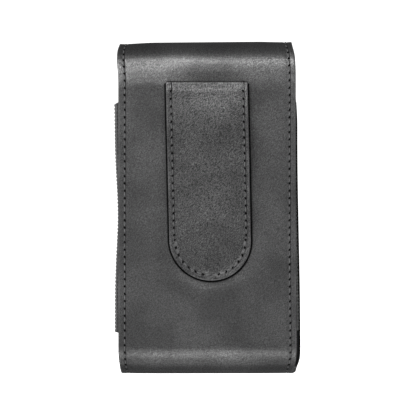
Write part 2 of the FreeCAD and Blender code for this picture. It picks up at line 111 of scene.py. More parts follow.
# Elastic.
GUSSET_LOW, GUSSET_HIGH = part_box("left_gusset")
RIB_PITCH = 1.58 * MM
ELASTIC_THICK = 0.7 * MM

# Spacing of mesh rows, on straight and on round stretches.
LEATHER_ROWS = (0.9 * MM, 0.7 * MM)
LINING_ROWS = (3 * MM, 1 * MM)
STRAP_ROWS = (0.8 * MM, 0.4 * MM)
TOUCHING = 1e-6  # metres


class Route:
    """A line of straight and round stretches in the Y-Z plane, followed by its length."""

    def __init__(self, y, z, heading):
        self.point = Vector((y, z))
        self.heading = math.radians(heading)
        self.length = 0.0
        self.stretches = []

    def straight(self, length):
        self.stretches.append((self.length, length, self.point.copy(), self.heading, 0.0))
        self.point = self.point + Vector((math.cos(self.heading), math.sin(self.heading))) * length
        self.length += length
        return self

    def bend(self, radius, angle):
        """A round stretch; a positive angle in degrees turns left."""
        turn = math.radians(angle)
        length = radius * abs(turn)
        self.stretches.append((self.length, length, self.point.copy(), self.heading, turn / length))
        self.point = self.spot(self.length + length)[0]
        self.heading += turn
        self.length += length
        return self

    def spot(self, along):
        """The point at a length and the direction square to the line, on its right-hand side."""
        chosen = self.stretches[0]
        for stretch in self.stretches:
            if along >= stretch[0]:
                chosen = stretch
        start, _, origin, heading, curl = chosen
        run = along - start
        if curl:
            later = heading + curl * run
            reach = Vector((math.sin(later) - math.sin(heading), math.cos(heading) - math.cos(later))) / curl
        else:
            later = heading
            reach = Vector((math.cos(heading), math.sin(heading))) * run
        return origin + reach, Vector((math.sin(later), -math.cos(later)))

    def rows(self, straight_step, bend_step):
        """Lengths at which a mesh on this route has its rows."""
        found = [0.0]
        for start, length, _, _, curl in self.stretches:
            outer = length * (1 + abs(curl) * STRAP)
            count = max(1, round(outer / (bend_step if curl else straight_step)))
            found += [start + length * (k + 1) / count for k in range(count)]
        return found


def wall_route(depth):
    """From the mouth down the pocket's front, under the base, up the back and over to the middle of the top."""
    route = Route(-BACK + depth, MOUTH, -90)
    route.straight(MOUTH - BASE_BEND).bend(BASE_BEND - depth, 90).straight(2 * (BACK - BASE_BEND))
    route.bend(BASE_BEND - depth, 90).straight(BEND_LEVEL - BASE_BEND)
    return route.bend(TOP_BEND - depth, 90).straight(TOP_FLAT / 2)


def flap_route(depth):
    """From the middle of the top forwards and down to the flap's lower edge."""
    route = Route(BACK - TOP_BEND - TOP_FLAT / 2, TOP - depth, 180)
    return route.straight(TOP_FLAT / 2).bend(TOP_BEND - depth, 90).straight(BEND_LEVEL - FLAP_END)


def loop_route():
    """The strap's inner face from its foot up, bowing outwards, over the pinched fold and down the hidden tab.

    The angle at which the leg leaves the foot, and its straight length, bring the fold's top to the strap's own
    height and the tab flat onto the back.
    """
    route = Route(BACK, LOOP_LOW.z, 90)
    rise = LOOP_HIGH.z - STRAP - LOOP_LOW.z - LOOP_SEWN - LOOP_PINCH
    rise -= (LOOP_BOW - LOOP_PINCH) * math.sin(LOOP_TUCK)
    reach = LOOP_EASE + (LOOP_BOW - LOOP_PINCH) * math.cos(LOOP_TUCK) - LOOP_PINCH - STRAP
    both = LOOP_EASE + LOOP_BOW
    lean = math.atan2(rise, reach) - math.acos(both / math.hypot(rise, reach))
    leg = (rise - both * math.sin(lean)) / math.cos(lean)
    tuck = math.degrees(LOOP_TUCK)
    route.straight(LOOP_SEWN).bend(LOOP_EASE, -math.degrees(lean)).straight(leg)
    route.bend(LOOP_BOW, math.degrees(lean) + tuck).bend(LOOP_PINCH, 180 - tuck)
    return route.straight(LOOP_TAB)


WALL_ROUTE = wall_route(0.0)
FLAP_ROUTE = flap_route(0.0)
LOOP_ROUTE = loop_route()


def smooth(value, low, high):
    """0 below low, 1 above high, and an even curve between them."""
    part = min(max((value - low) / (high - low), 0.0), 1.0)
    return part * part * (3 - 2 * part)


def hump(value, middle, width):
    """1 at the middle, falling evenly to nothing on both sides."""
    return math.exp(-((value - middle) / width) ** 2)


def columns(half, gap, closer=()):
    """Places across a strip: close together by its edges, where the stitching is, and wider in the middle."""
    insets = [0, 0.7, 1.2, 1.7, 2.05, 2.4, 2.75, 3.2, 4.0, 5.5]
    edge = sorted({inset * MM for inset in insets} | set(closer))
    inner = half - edge[-1]
    count = max(2, round(2 * inner / gap))
    middle = [-inner + 2 * inner * k / count for k in range(count + 1)]
    return [-half + inset for inset in edge[:-1]] + middle + [half - inset for inset in reversed(edge[:-1])]


def round_end(x, along, corner_x, corner_along, radius, way):
    """Moves a point of a square-ended strip so that the strip's corners become round."""
    across = (abs(x) - corner_x) / radius
    past = (along - corner_along) * way / radius
    if across <= 0 or past <= 0:
        return x, along
    new_across = across * math.sqrt(1 - past * past / 2)
    new_past = past * math.sqrt(1 - across * across / 2)
    return math.copysign(corner_x + new_across * radius, x), corner_along + new_past * radius * way


def rim_place(x, along, half, corner_x, corner_along, radius, way, inset):
    """How far inside the edge a point is, and how far along the stitching, for a strip with one round end."""
    past = (along - corner_along) * way
    start = corner_along * way
    if past <= 0:
        return half - abs(x), along * way
    if abs(x) <= corner_x:
        return radius - past, start + (radius - inset) * math.pi / 2 + corner_x - abs(x)
    across = abs(x) - corner_x
    return radius - math.hypot(across, past), start + (radius - inset) * math.atan2(past, across)


def link(name, mesh, material):
    piece = bpy.data.objects.new(name, mesh)
    bpy.context.collection.objects.link(piece)
    mesh.materials.append(material)
    return piece


def mesh_from(mesh_data, name):
    mesh = bpy.data.meshes.new(name)
    mesh_data.to_mesh(mesh)
    mesh_data.free()
    return mesh


def slab(name, rows, across, thickness, material, place, seam, shape=None, rim=0.28 * MM, open_ends=(),
         stretch=float):
    """A flat piece with rounded rims, cut to shape and then carried to its place.

    place(x, along, height) gives the final point: height 0 is the outer face, -thickness the inner one.
    seam(x, along) gives the inset and the length along the stitching. Rows in open_ends keep square rims.
    stretch(along) gives the length on the outer face, for the grain.
    """
    mesh_data = bmesh.new()
    bmesh.ops.create_grid(mesh_data, x_segments=len(across) - 1, y_segments=len(rows) - 1, size=1)
    for vert in mesh_data.verts:
        column = round((vert.co.x + 1) / 2 * (len(across) - 1))
        row = round((vert.co.y + 1) / 2 * (len(rows) - 1))
        x, along = across[column], rows[row]
        if shape:
            x, along = shape(x, along)
        vert.co = (x, along, 0)
    grown = bmesh.ops.extrude_face_region(mesh_data, geom=mesh_data.faces[:])["geom"]
    for item in grown:
        if isinstance(item, bmesh.types.BMVert):
            item.co.z = -thickness
    mesh_data.normal_update()
    level = [face for face in mesh_data.faces if abs(face.normal.z) > 0.5]
    for face in level:
        face.tag = True
    corners = [edge for edge in mesh_data.edges if sum(face.tag for face in edge.link_faces) == 1]
    soft = [edge for edge in corners if not any(
        all(abs(vert.co.y - end) < TOUCHING for vert in edge.verts) for end in open_ends)]
    bmesh.ops.bevel(mesh_data, geom=soft, offset=rim, offset_type="OFFSET", segments=2, profile=0.5,
                    affect="EDGES", material=-1)
    flat = mesh_data.loops.layers.uv.new("flat")
    sewn = mesh_data.loops.layers.uv.new("sewn")
    for face in mesh_data.faces:
        middle = face.calc_center_median()
        for loop in face.loops:
            # A corner's seam is read just inside its face, so that a face never spans two seams.
            x, along, _ = loop.vert.co
            loop[flat].uv = (x / MM, stretch(along) / MM)
            inset, run = seam(x + (middle.x - x) * 1e-3, along + (middle.y - along) * 1e-3)
            loop[sewn].uv = (inset / MM, run / MM)
        face.smooth = True
    for vert in mesh_data.verts:
        vert.co = place(*vert.co)
    bmesh.ops.recalc_face_normals(mesh_data, faces=mesh_data.faces[:])
    return link(name, mesh_from(mesh_data, name), material)


# Shader building.

def add(tree, kind, inputs=None, **settings):
    """Adds a node; each input is a constant or another node's output."""
    made = tree.nodes.new(kind)
    for key, value in settings.items():
        setattr(made, key, value)
    for key, value in (inputs or {}).items():
        if isinstance(value, bpy.types.NodeSocket):
            tree.links.new(value, made.inputs[key])
        else:
            made.inputs[key].default_value = value
    return made


def math_node(tree, operation, first, second=0.0, third=0.0, clamp=False):
    made = add(tree, "ShaderNodeMath", {0: first, 1: second, 2: third}, operation=operation, use_clamp=clamp)
    return made.outputs[0]


def span(tree, value, low, high, out_low=0.0, out_high=1.0):
    """Carries one range of a value smoothly onto another."""
    inputs = {"Value": value, "From Min": low, "From Max": high, "To Min": out_low, "To Max": out_high}
    return add(tree, "ShaderNodeMapRange", inputs, interpolation_type="SMOOTHSTEP").outputs[0]


def mix_colour(tree, factor, first, second):
    inputs = {"Factor": factor, "A": first, "B": second}
    made = add(tree, "ShaderNodeMix", data_type="RGBA")
    for key, value in inputs.items():
        socket = [entry for entry in made.inputs if entry.name == key and entry.enabled][0]
        if isinstance(value, bpy.types.NodeSocket):
            tree.links.new(value, socket)
        else:
            socket.default_value = value
    return [entry for entry in made.outputs if entry.enabled][0]


def axes(tree, vector):
    """The X, Y and Z of a vector."""
    return add(tree, "ShaderNodeSeparateXYZ", {0: vector}).outputs


def noise(tree, vector, scale, detail=2.0, roughness=0.5):
    inputs = {"Vector": vector, "Scale": scale, "Detail": detail, "Roughness": roughness}
    return add(tree, "ShaderNodeTexNoise", inputs).outputs["Fac"]


def new_group(name, inputs, outputs):
    """An empty shader group with named sockets; each input is (name, kind, default)."""
    tree = bpy.data.node_groups.new(name, "ShaderNodeTree")
    for label, kind, default in inputs:
        socket = tree.interface.new_socket(label, in_out="INPUT", socket_type=kind)
        if default is not None:
            socket.default_value = default
    for label in outputs:
        tree.interface.new_socket(label, in_out="OUTPUT", socket_type="NodeSocketFloat")
    return tree, tree.nodes.new("NodeGroupInput").outputs, tree.nodes.new("NodeGroupOutput").inputs


FLOAT = "NodeSocketFloat"
VECTOR = "NodeSocketVector"


def make_stitch_group():
    """Dark holes and the pressed groove of a row of stitches, from the inset and the length along the row."""
    inputs = [("Sewn", VECTOR, None), ("Inset", FLOAT, 2.4), ("Pitch", FLOAT, 3.1), ("From", FLOAT, -1e4),
              ("To", FLOAT, 1e4)]
    tree, given, result = new_group("Stitch Marks", inputs, ["Hole", "Groove"])
    parts = axes(tree, given["Sewn"])
    off = math_node(tree, "SUBTRACT", parts["X"], given["Inset"])
    turns = math_node(tree, "DIVIDE", parts["Y"], given["Pitch"])
    nearest = math_node(tree, "ROUND", turns)
    gap = math_node(tree, "MULTIPLY", math_node(tree, "SUBTRACT", turns, nearest), given["Pitch"])
    slope = math_node(tree, "MULTIPLY_ADD", off, 0.45, gap)
    apart = math_node(tree, "SQRT", math_node(tree, "ADD", math_node(tree, "MULTIPLY", off, off),
                                             math_node(tree, "MULTIPLY", slope, slope)))
    apart = math_node(tree, "MULTIPLY_ADD", noise(tree, given["Sewn"], 0.7, 1.0), 0.4, apart)
    after = math_node(tree, "GREATER_THAN", parts["Y"], given["From"])
    before = math_node(tree, "LESS_THAN", parts["Y"], given["To"])
    inside = math_node(tree, "MULTIPLY", after, before)
    tree.links.new(math_node(tree, "MULTIPLY", span(tree, apart, 0.44, 0.8, 1.0, 0.0), inside), result["Hole"])
    groove = span(tree, math_node(tree, "ABSOLUTE", off), 0.15, 0.75, 1.0, 0.0)
    tree.links.new(math_node(tree, "MULTIPLY", groove, inside), result["Groove"])
    return tree


def make_grain_group():
    """Leather grain from flat millimetres: pores and pebbled cells mixed with fine slanting hatching."""
    inputs = [("Vector", VECTOR, None), ("Cell", FLOAT, 0.9), ("Hatch", FLOAT, 0.6), ("Stroke", FLOAT, 1.0)]
    tree, given, result = new_group("Leather Grain", inputs, ["Height", "Mottle"])
    warp = add(tree, "ShaderNodeTexNoise", {"Vector": given["Vector"], "Scale": 0.35,
                                            "Detail": 1.0}).outputs["Color"]
    shifted = add(tree, "ShaderNodeVectorMath", {0: warp, 1: (1.6, 1.6, 1.6), 2: given["Vector"]},
                  operation="MULTIPLY_ADD").outputs[0]
    cells = add(tree, "ShaderNodeTexVoronoi", {"Vector": shifted, "Scale": given["Cell"]},
                feature="DISTANCE_TO_EDGE").outputs["Distance"]
    pores = math_node(tree, "MULTIPLY", noise(tree, shifted, 2.4, 2.0, 0.6), 0.75)
    pebble = math_node(tree, "MULTIPLY_ADD", span(tree, cells, 0.0, 0.16), 0.2, pores)
    slanted = add(tree, "ShaderNodeMapping", {"Vector": shifted, "Rotation": (0, 0, math.radians(133)),
                                              "Scale": (1.9, 0.5, 1.0)}, vector_type="TEXTURE").outputs[0]
    strokes = noise(tree, slanted, given["Stroke"], 2.0, 0.55)
    height = add(tree, "ShaderNodeMix", {0: given["Hatch"], 2: pebble, 3: strokes}).outputs[0]
    tree.links.new(height, result["Height"])
    tree.links.new(noise(tree, given["Vector"], 0.05, 1.5, 0.5), result["Mottle"])
    return tree


def make_weave_group():
    """Plain weave: crossing rounded threads, from flat millimetres."""
    inputs = [("Vector", VECTOR, None), ("Threads", FLOAT, 1.6)]
    tree, given, result = new_group("Weave", inputs, ["Height", "Shade"])
    parts = axes(tree, given["Vector"])
    waves = []
    for axis in ("X", "Y"):
        phase = math_node(tree, "MULTIPLY", parts[axis], given["Threads"])
        waves.append(math_node(tree, "SINE", math_node(tree, "MULTIPLY", phase, 2 * math.pi)))
    over = math_node(tree, "MULTIPLY", waves[0], waves[1])
    height = math_node(tree, "MULTIPLY_ADD", over, 0.5, 0.5)
    tree.links.new(height, result["Height"])
    shade = math_node(tree, "MULTIPLY_ADD", noise(tree, given["Vector"], 0.5, 3.0, 0.6), 0.5, math_node(
        tree, "MULTIPLY", height, 0.5))
    tree.links.new(shade, result["Shade"])
    return tree


STITCH_GROUP = make_stitch_group()
GRAIN_GROUP = make_grain_group()
WEAVE_GROUP = make_weave_group()


def use_group(tree, group, inputs):
    """Places a shader group with its own values."""
    return add(tree, "ShaderNodeGroup", inputs, node_tree=group).outputs


def new_material(name):
    material = bpy.data.materials.new(name)
    material.use_nodes = True
    return material, material.node_tree, material.node_tree.nodes["Principled BSDF"]


def grey(level):
    return (level, level, level * 1.02, 1.0)


def bump(tree, height, distance, strength=1.0, normal=None):
    inputs = {"Height": height, "Distance": distance, "Strength": strength}
    if normal is not None:
        inputs["Normal"] = normal
    return add(tree, "ShaderNodeBump", inputs).outputs[0]


GRAIN_RANGE = (0.36, 0.62)  # heights from the grain's furrows to its crests
# Near black, painted as shade into stitch holes and along the sewn edges of cloth.
PAINTED_SHADE_BLACK = grey(0.002)


def leather_material(name, colour, roughness, shine, grain, rows):
    """Dyed leather with grain, sewing marks painted darker as shade, and a polished, slightly worn edge painted
    lighter, partly as a painted highlight.

    grain is (cell, hatch, stroke, depth) and rows are (inset, pitch, from, to).
    """
    material, tree, surface = new_material(name)
    flat = add(tree, "ShaderNodeUVMap", uv_map="flat").outputs[0]
    sewn = add(tree, "ShaderNodeUVMap", uv_map="sewn").outputs[0]
    cell, hatch, stroke, depth = grain
    grain = use_group(tree, GRAIN_GROUP, {"Vector": flat, "Cell": cell, "Hatch": hatch, "Stroke": stroke})
    hole, groove = 0.0, 0.0
    for inset, pitch, start, stop in rows:
        marks = use_group(tree, STITCH_GROUP, {"Sewn": sewn, "Inset": inset / MM, "Pitch": pitch / MM,
                                               "From": start / MM, "To": stop / MM})
        hole = math_node(tree, "MAXIMUM", hole, marks["Hole"])
        groove = math_node(tree, "MAXIMUM", groove, marks["Groove"])
    inset = axes(tree, sewn)["X"]
    edge = span(tree, inset, 0.15, 0.75, 1.0, 0.0)
    worn_and_highlit_edge = math_node(tree, "MULTIPLY", edge, span(tree, grain["Mottle"], 0.35, 0.65, 0.35, 1.0))
    light = grey(colour * 1.35)
    body = mix_colour(tree, span(tree, grain["Mottle"], 0.3, 0.7), grey(colour * 0.82), light)
    body = mix_colour(tree, span(tree, grain["Height"], *GRAIN_RANGE, 0.0, 0.7), grey(colour * 0.6), body)
    # The rim is painted lighter: partly real wear, partly a painted highlight on the cut edge.
    body = mix_colour(tree, math_node(tree, "MULTIPLY", worn_and_highlit_edge, 0.8), body, grey(colour * 3.5))
    # Painted shade: the pressed stitch groove is painted darker and the stitch holes near black.
    body = mix_colour(tree, math_node(tree, "MULTIPLY", groove, 0.35), body, grey(colour * 0.5))
    body = mix_colour(tree, hole, body, PAINTED_SHADE_BLACK)
    tree.links.new(body, surface.inputs["Base Color"])
    dull = span(tree, grain["Height"], *GRAIN_RANGE, roughness + 0.06, roughness - 0.04)
    dull = math_node(tree, "MULTIPLY_ADD", hole, 0.4, dull)
    tree.links.new(math_node(tree, "MULTIPLY_ADD", worn_and_highlit_edge, -0.1, dull), surface.inputs["Roughness"])
    height = math_node(tree, "MULTIPLY_ADD", groove, -1.0, 0.0)
    pressed = bump(tree, math_node(tree, "MULTIPLY_ADD", hole, -2.0, height), 0.22 * MM)
    tree.links.new(bump(tree, grain["Height"], depth, 1.0, pressed), surface.inputs["Normal"])
    gleam = span(tree, grain["Height"], 0.4, 0.68, shine[0], shine[1])
    gleam = math_node(tree, "MULTIPLY", gleam, math_node(tree, "SUBTRACT", 1.0, hole))
    gleam = math_node(tree, "MULTIPLY", gleam, span(tree, grain["Mottle"], 0.3, 0.7, 0.8, 1.2))
    tree.links.new(gleam, surface.inputs["Specular IOR Level"])
    return material


def weave_material(name, dark, light, threads, depth, sheen):
    """Woven cloth, painted near black along its sewn edges as shade."""
    material, tree, surface = new_material(name)
    flat = add(tree, "ShaderNodeUVMap", uv_map="flat").outputs[0]
    sewn = add(tree, "ShaderNodeUVMap", uv_map="sewn").outputs[0]
    weave = use_group(tree, WEAVE_GROUP, {"Vector": flat, "Threads": threads})
    body = mix_colour(tree, weave["Shade"], grey(dark), grey(light))
    inset = axes(tree, sewn)["X"]
    # Painted shade: the cloth turns near black towards its sewn edges.
    outside_painted_shade = span(tree, inset, 0.4, 3.0)
    tree.links.new(mix_colour(tree, outside_painted_shade, PAINTED_SHADE_BLACK, body), surface.inputs["Base Color"])
    tree.links.new(span(tree, outside_painted_shade, 0.0, 1.0, 0.02, 0.4), surface.inputs["Specular IOR Level"])
    tree.links.new(span(tree, weave["Shade"], 0.2, 0.8, 0.9, 0.7), surface.inputs["Roughness"])
    tree.links.new(bump(tree, weave["Height"], depth), surface.inputs["Normal"])
    surface.inputs["Sheen Weight"].default_value = sheen
    return material


def thread_material():
    """Waxed thread: two plies twisted together, from each stitch's own place."""
    material, tree, surface = new_material("sewing_thread")
    place = add(tree, "ShaderNodeTexCoord").outputs["Object"]
    parts = axes(tree, place)
    slant = math_node(tree, "ADD", math_node(tree, "ADD", parts["X"], parts["Y"]), parts["Z"])
    twist = math_node(tree, "SINE", math_node(tree, "MULTIPLY", slant, 2 * math.pi / (0.45 * MM)))
    shade = noise(tree, place, 900.0, 2.0)
    tree.links.new(mix_colour(tree, shade, grey(0.012), grey(0.085)), surface.inputs["Base Color"])
    tree.links.new(span(tree, shade, 0.2, 0.8, 0.55, 0.4), surface.inputs["Roughness"])
    tree.links.new(bump(tree, twist, 0.05 * MM), surface.inputs["Normal"])
    return material


def metal_material():
    """Nickel plate with faint turning marks and handling haze."""
    material, tree, surface = new_material("nickel_plate")
    place = add(tree, "ShaderNodeTexCoord").outputs["Object"]
    haze = noise(tree, place, 260.0, 3.0, 0.6)
    tree.links.new(mix_colour(tree, haze, grey(0.42), grey(0.62)), surface.inputs["Base Color"])
    tree.links.new(span(tree, haze, 0.3, 0.7, 0.22, 0.38), surface.inputs["Roughness"])
    rings = noise(tree, place, 1800.0, 1.0)
    tree.links.new(bump(tree, rings, 0.01 * MM), surface.inputs["Normal"])
    surface.inputs["Metallic"].default_value = 1.0
    return material


FAR = 10.0  # past either end of any row
SMOOTH_LEATHER = leather_material("smooth_leather", 0.018, 0.35, (0.25, 0.85), (1.5, 0.65, 2.4, 0.055 * MM),
                                  [(SEAM_INSET, SEAM_PITCH, -FAR, FAR)])
ANCHOR_START = LOOP_RUN_START - LOOP_SEWN
STRAP_LEATHER = leather_material("strap_leather", 0.017, 0.36, (0.08, 0.95), (1.7, 0.6, 2.2, 0.12 * MM),
                                 [(LOOP_SEAM_INSET, LOOP_PITCH, -FAR, ANCHOR_START),
                                  (ANCHOR_INSET, ANCHOR_PITCH, ANCHOR_START, FAR)])
LINING = weave_material("woven_lining", 0.02, 0.055, 1.4, 0.06 * MM, 0.15)
WEBBING = weave_material("strap_backing", 0.015, 0.04, 1.8, 0.05 * MM, 0.0)
ELASTIC = weave_material("ribbed_elastic", 0.012, 0.045, 1.9, 0.08 * MM, 0.15)
THREAD = thread_material()
METAL = metal_material()


# The leather wrap.

def top_slope(x, z):
    """The pouch's top leans a little: it is higher on the -X side."""
    return -x / HALF_WIDTH * 0.42 * MM * smooth(z, MOUTH, TOP)


def edge_flare(x, z):
    """The -X edge spreads a little towards the base, and the +X one bulges just under the top bend."""
    spread = -0.4 * MM * smooth(-z, -60 * MM, -5 * MM) * smooth(-x, 0, HALF_WIDTH)
    return spread + 0.4 * MM * hump(z, TOP - 8 * MM, 5 * MM) * smooth(x, HALF_WIDTH / 2, HALF_WIDTH)


def skew(y, z):
    """The body stands a little askew: its front half sits towards -X."""
    lower = 1.5 * smooth(-z, -134 * MM, -104 * MM) + 0.9 * smooth(-z, -100 * MM, -30 * MM)
    return -lower * MM * smooth(-y, -BACK, BACK)


def shoulder(x, y, z):
    """The back leans away below the top bend, most on the +X side."""
    depth = 1.9 * smooth(x, 0, 24 * MM) + 0.7 * smooth(-x, 4 * MM, 26 * MM)
    return -depth * MM * smooth(z, TOP - 18.6 * MM, TOP - 8 * MM) * smooth(y, 2 * MM, 14 * MM)


def foot_dent(x, y, z):
    """The back drawn in round the sewn foot of the loop, with a low swelling beyond it."""
    middle = LOOP_LOW.z + LOOP_HALF + LOOP_LIFT
    away = math.hypot(x - LOOP_SHIFT, min(z - middle, 0.0)) - LOOP_HALF
    rise = 0.45 * MM * hump(away, 7.5 * MM, 7 * MM) - 0.3 * MM * (1 - smooth(away, 0.5 * MM, 4 * MM))
    return rise * (1 - smooth(z, middle + 2 * MM, middle + 24 * MM)) * smooth(y, 2 * MM, 14 * MM)


def settle(point):
    """Hand-made unevenness shared by every layer of the wall."""
    x, y, z = point
    narrow = 1 - 0.006 * smooth(z, TOP - 5 * MM, TOP) - 0.016 * smooth(-z, -10 * MM, 0)
    shift = edge_flare(x, z) + skew(y, z) + 0.4 * MM * smooth(z, TOP - 14 * MM, TOP - 3 * MM)
    corner = smooth(-z, -6 * MM, 0) + 0.7 * smooth(z, TOP - 7 * MM, TOP)
    shift += 1.2 * MM * corner * smooth(-x, 20 * MM, HALF_WIDTH)
    shift -= 0.5 * MM * smooth(z, TOP - 3 * MM, TOP) * smooth(x, 20 * MM, HALF_WIDTH)
    return Vector((x * narrow + shift, y + shoulder(x, y, z) + foot_dent(x, y, z), z + top_slope(x, z)))


def panel_relief(inset, run, x, z):
    """How far the outer leather stands above its nominal face, in metres."""
    pressed = -0.2 * MM * hump(inset, SEAM_INSET, 0.7 * MM)
    scallop = 0.05 * MM * math.cos(2 * math.pi * run / SEAM_PITCH) * hump(inset, SEAM_INSET, 1.3 * MM)
    soft = 0.35 * MM * smooth(inset, 3 * MM, 16 * MM)
    wave = 0.16 * MM * math.sin(z / (17 * MM) + 1.7) * math.sin(x / (21 * MM) + z / (45 * MM))
    return pressed + scallop + soft + wave * smooth(inset, 2 * MM, 12 * MM)


def outer_place(route, seam):
    """How an outer leather is carried to its place; its relief fades away through its thickness."""
    def place(x, along, height):
        point, out = route.spot(along)
        inset, run = seam(x, along)
        above = height + panel_relief(inset, run, x, point.y) * (1 + min(height, 0) / LEATHER)
        return settle((x, point.x + out.x * above, point.y + out.y * above))

    return place


def inner_place(route, narrowing=1.0):
    """How a lining is carried to its place."""
    def place(x, along, height):
        point, out = route.spot(along)
        return settle((x * narrowing, point.x + out.x * height, point.y + out.y * height))

    return place


def shell_seam(x, along):
    """Inset and run on the body's wrap, whose stitching crosses its mouth and follows both sides."""
    side = HALF_WIDTH - abs(x)
    return (along, x) if along < side else (side, along)


def make_shell():
    """The body's leather and its lining, from the pocket's mouth round to the middle of the top."""
    piece = slab("wrap_leather", WALL_ROUTE.rows(*LEATHER_ROWS), columns(HALF_WIDTH, 3 * MM), LEATHER,
                 SMOOTH_LEATHER, outer_place(WALL_ROUTE, shell_seam), shell_seam, open_ends=[WALL_ROUTE.length])
    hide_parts("shell_leather")
    bend_rear(piece)

    inner = wall_route(LEATHER)
    lining = slab("wrap_lining", inner.rows(*LINING_ROWS), columns(HALF_WIDTH - LINING_SHY, 5 * MM),
                  BOARD_AND_LINING, LINING, inner_place(inner), shell_seam, open_ends=[inner.length])
    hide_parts("shell_lining", "back_board", "front_board", "base_board")
    bend_rear(lining)


def bend_rear(piece):
    """Bakes a piece's placement into its mesh; the piece does not fold with the flap."""
    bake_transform(piece)


def bend_front(piece):
    """Bakes a piece's placement into its mesh; the piece does not fold with the flap."""
    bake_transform(piece)


def flap_shape(route_length):
    """The flap's round corners, and the inset and run of the stitching that follows them."""
    corner_x = HALF_WIDTH - FLAP_CORNER
    corner_along = route_length - FLAP_CORNER

    def shape(x, along):
        return round_end(x, along, corner_x, corner_along, FLAP_CORNER, 1)

    def seam(x, along):
        return rim_place(x, along, HALF_WIDTH, corner_x, corner_along, FLAP_CORNER, 1, SEAM_INSET)

    return shape, seam


def end_rows(rows, length, gaps):
    """Adds close rows just before a free end, for the stitching there."""
    near = [length - gap * MM for gap in gaps]
    return sorted([row for row in rows if row < near[0] - 0.2 * MM] + near + [length])


def make_flap():
    """The flap's leather and its lining, from the middle of the top down to the round-cornered end."""
    shape, seam = flap_shape(FLAP_ROUTE.length)
    near_end = [5, 4, 3.2, 2.75, 2.4, 2.05, 1.7, 1.2, 0.7, 0.3]
    rows = end_rows(FLAP_ROUTE.rows(*LEATHER_ROWS), FLAP_ROUTE.length, near_end)
    piece = slab("flap_leather", rows, columns(HALF_WIDTH, 3 * MM), LEATHER, SMOOTH_LEATHER,
                 outer_place(FLAP_ROUTE, seam), seam, shape, open_ends=[0.0])
    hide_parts("flap_top_leather", "flap_front_leather")
    bend_front(piece)

    inner = flap_route(LEATHER)
    inner_shape, inner_seam = flap_shape(inner.length)
    rows = end_rows(inner.rows(*LINING_ROWS), inner.length, [3, 1])
    lining = slab("flap_lining", rows, columns(HALF_WIDTH, 5 * MM), BOARD_AND_LINING, LINING,
                  inner_place(inner, 1 - LINING_SHY / HALF_WIDTH), inner_seam, inner_shape, open_ends=[0.0])
    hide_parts("flap_top_lining", "flap_front_lining", "flap_top_board", "flap_front_board")
    bend_front(lining)


# Elastic gussets.

def make_gusset(name, node, side):
    """Ribbed elastic between the walls: the +X one bows out, less so halfway up, and the -X one curves in."""
    low, high = GUSSET_LOW.z, GUSSET_HIGH.z
    count = round((high - low) / (RIB_PITCH / 6))
    levels = [low + (high - low) * k / count for k in range(count + 1)]
    mouth_y = BACK - LEATHER - 0.4 * MM
    spread = [mouth_y * part for part in (-1, -0.985, -0.95, -0.88, -0.78, -0.6, -0.35, 0,
                                          0.35, 0.6, 0.78, 0.88, 0.95, 0.985, 1)]
    bow = (2.6 if side > 0 else -1.2) * MM
    dip = 1.5 * MM if side > 0 else 0.2 * MM

    def place(y, z, height):
        curve = max(1 - abs(y / mouth_y) ** 3.2, 0.0) ** 0.75
        opened = smooth(-z, -high, 1.5 * MM - high)
        rib = 0.3 * MM * abs(math.sin(math.pi * (z - low) / RIB_PITCH)) * smooth(curve, 0.05, 0.4)
        suck = dip * hump(z, (low + high) / 2 + 1 * MM, 20 * MM)
        x = HALF_WIDTH - 0.5 * MM + ((bow - suck) * curve + rib) * opened + height
        return settle((side * x, y, z))

    # The seam inset counts from the walls, so the elastic is painted near black where it meets them: painted
    # shade.
    piece = slab(name, levels, spread, ELASTIC_THICK, ELASTIC, place, lambda y, z: (mouth_y - abs(y), z),
                 rim=0.02 * MM)
    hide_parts(node)
    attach(piece, "case")


# Belt loop.

def loop_settle(point):
    """The strap is sewn on leaning, a little high and towards -X."""
    x, y, z = point
    lean = math.tan(LOOP_LEAN) * (z - LOOP_LOW.z - LOOP_HALF)
    return Vector((x + lean + LOOP_SHIFT, y, z + LOOP_LIFT))


def loop_shape(x, along):
    """The strap's half-round foot."""
    return round_end(x, along, 0.0, LOOP_HALF, LOOP_HALF, -1)


def loop_seam(x, along):
    """Inset and run, with the run counted from the middle of the foot and falling up the strap."""
    inset, run = rim_place(x, along, LOOP_HALF, 0.0, LOOP_HALF, LOOP_HALF, -1, ANCHOR_INSET)
    return inset, run + LOOP_RUN_START


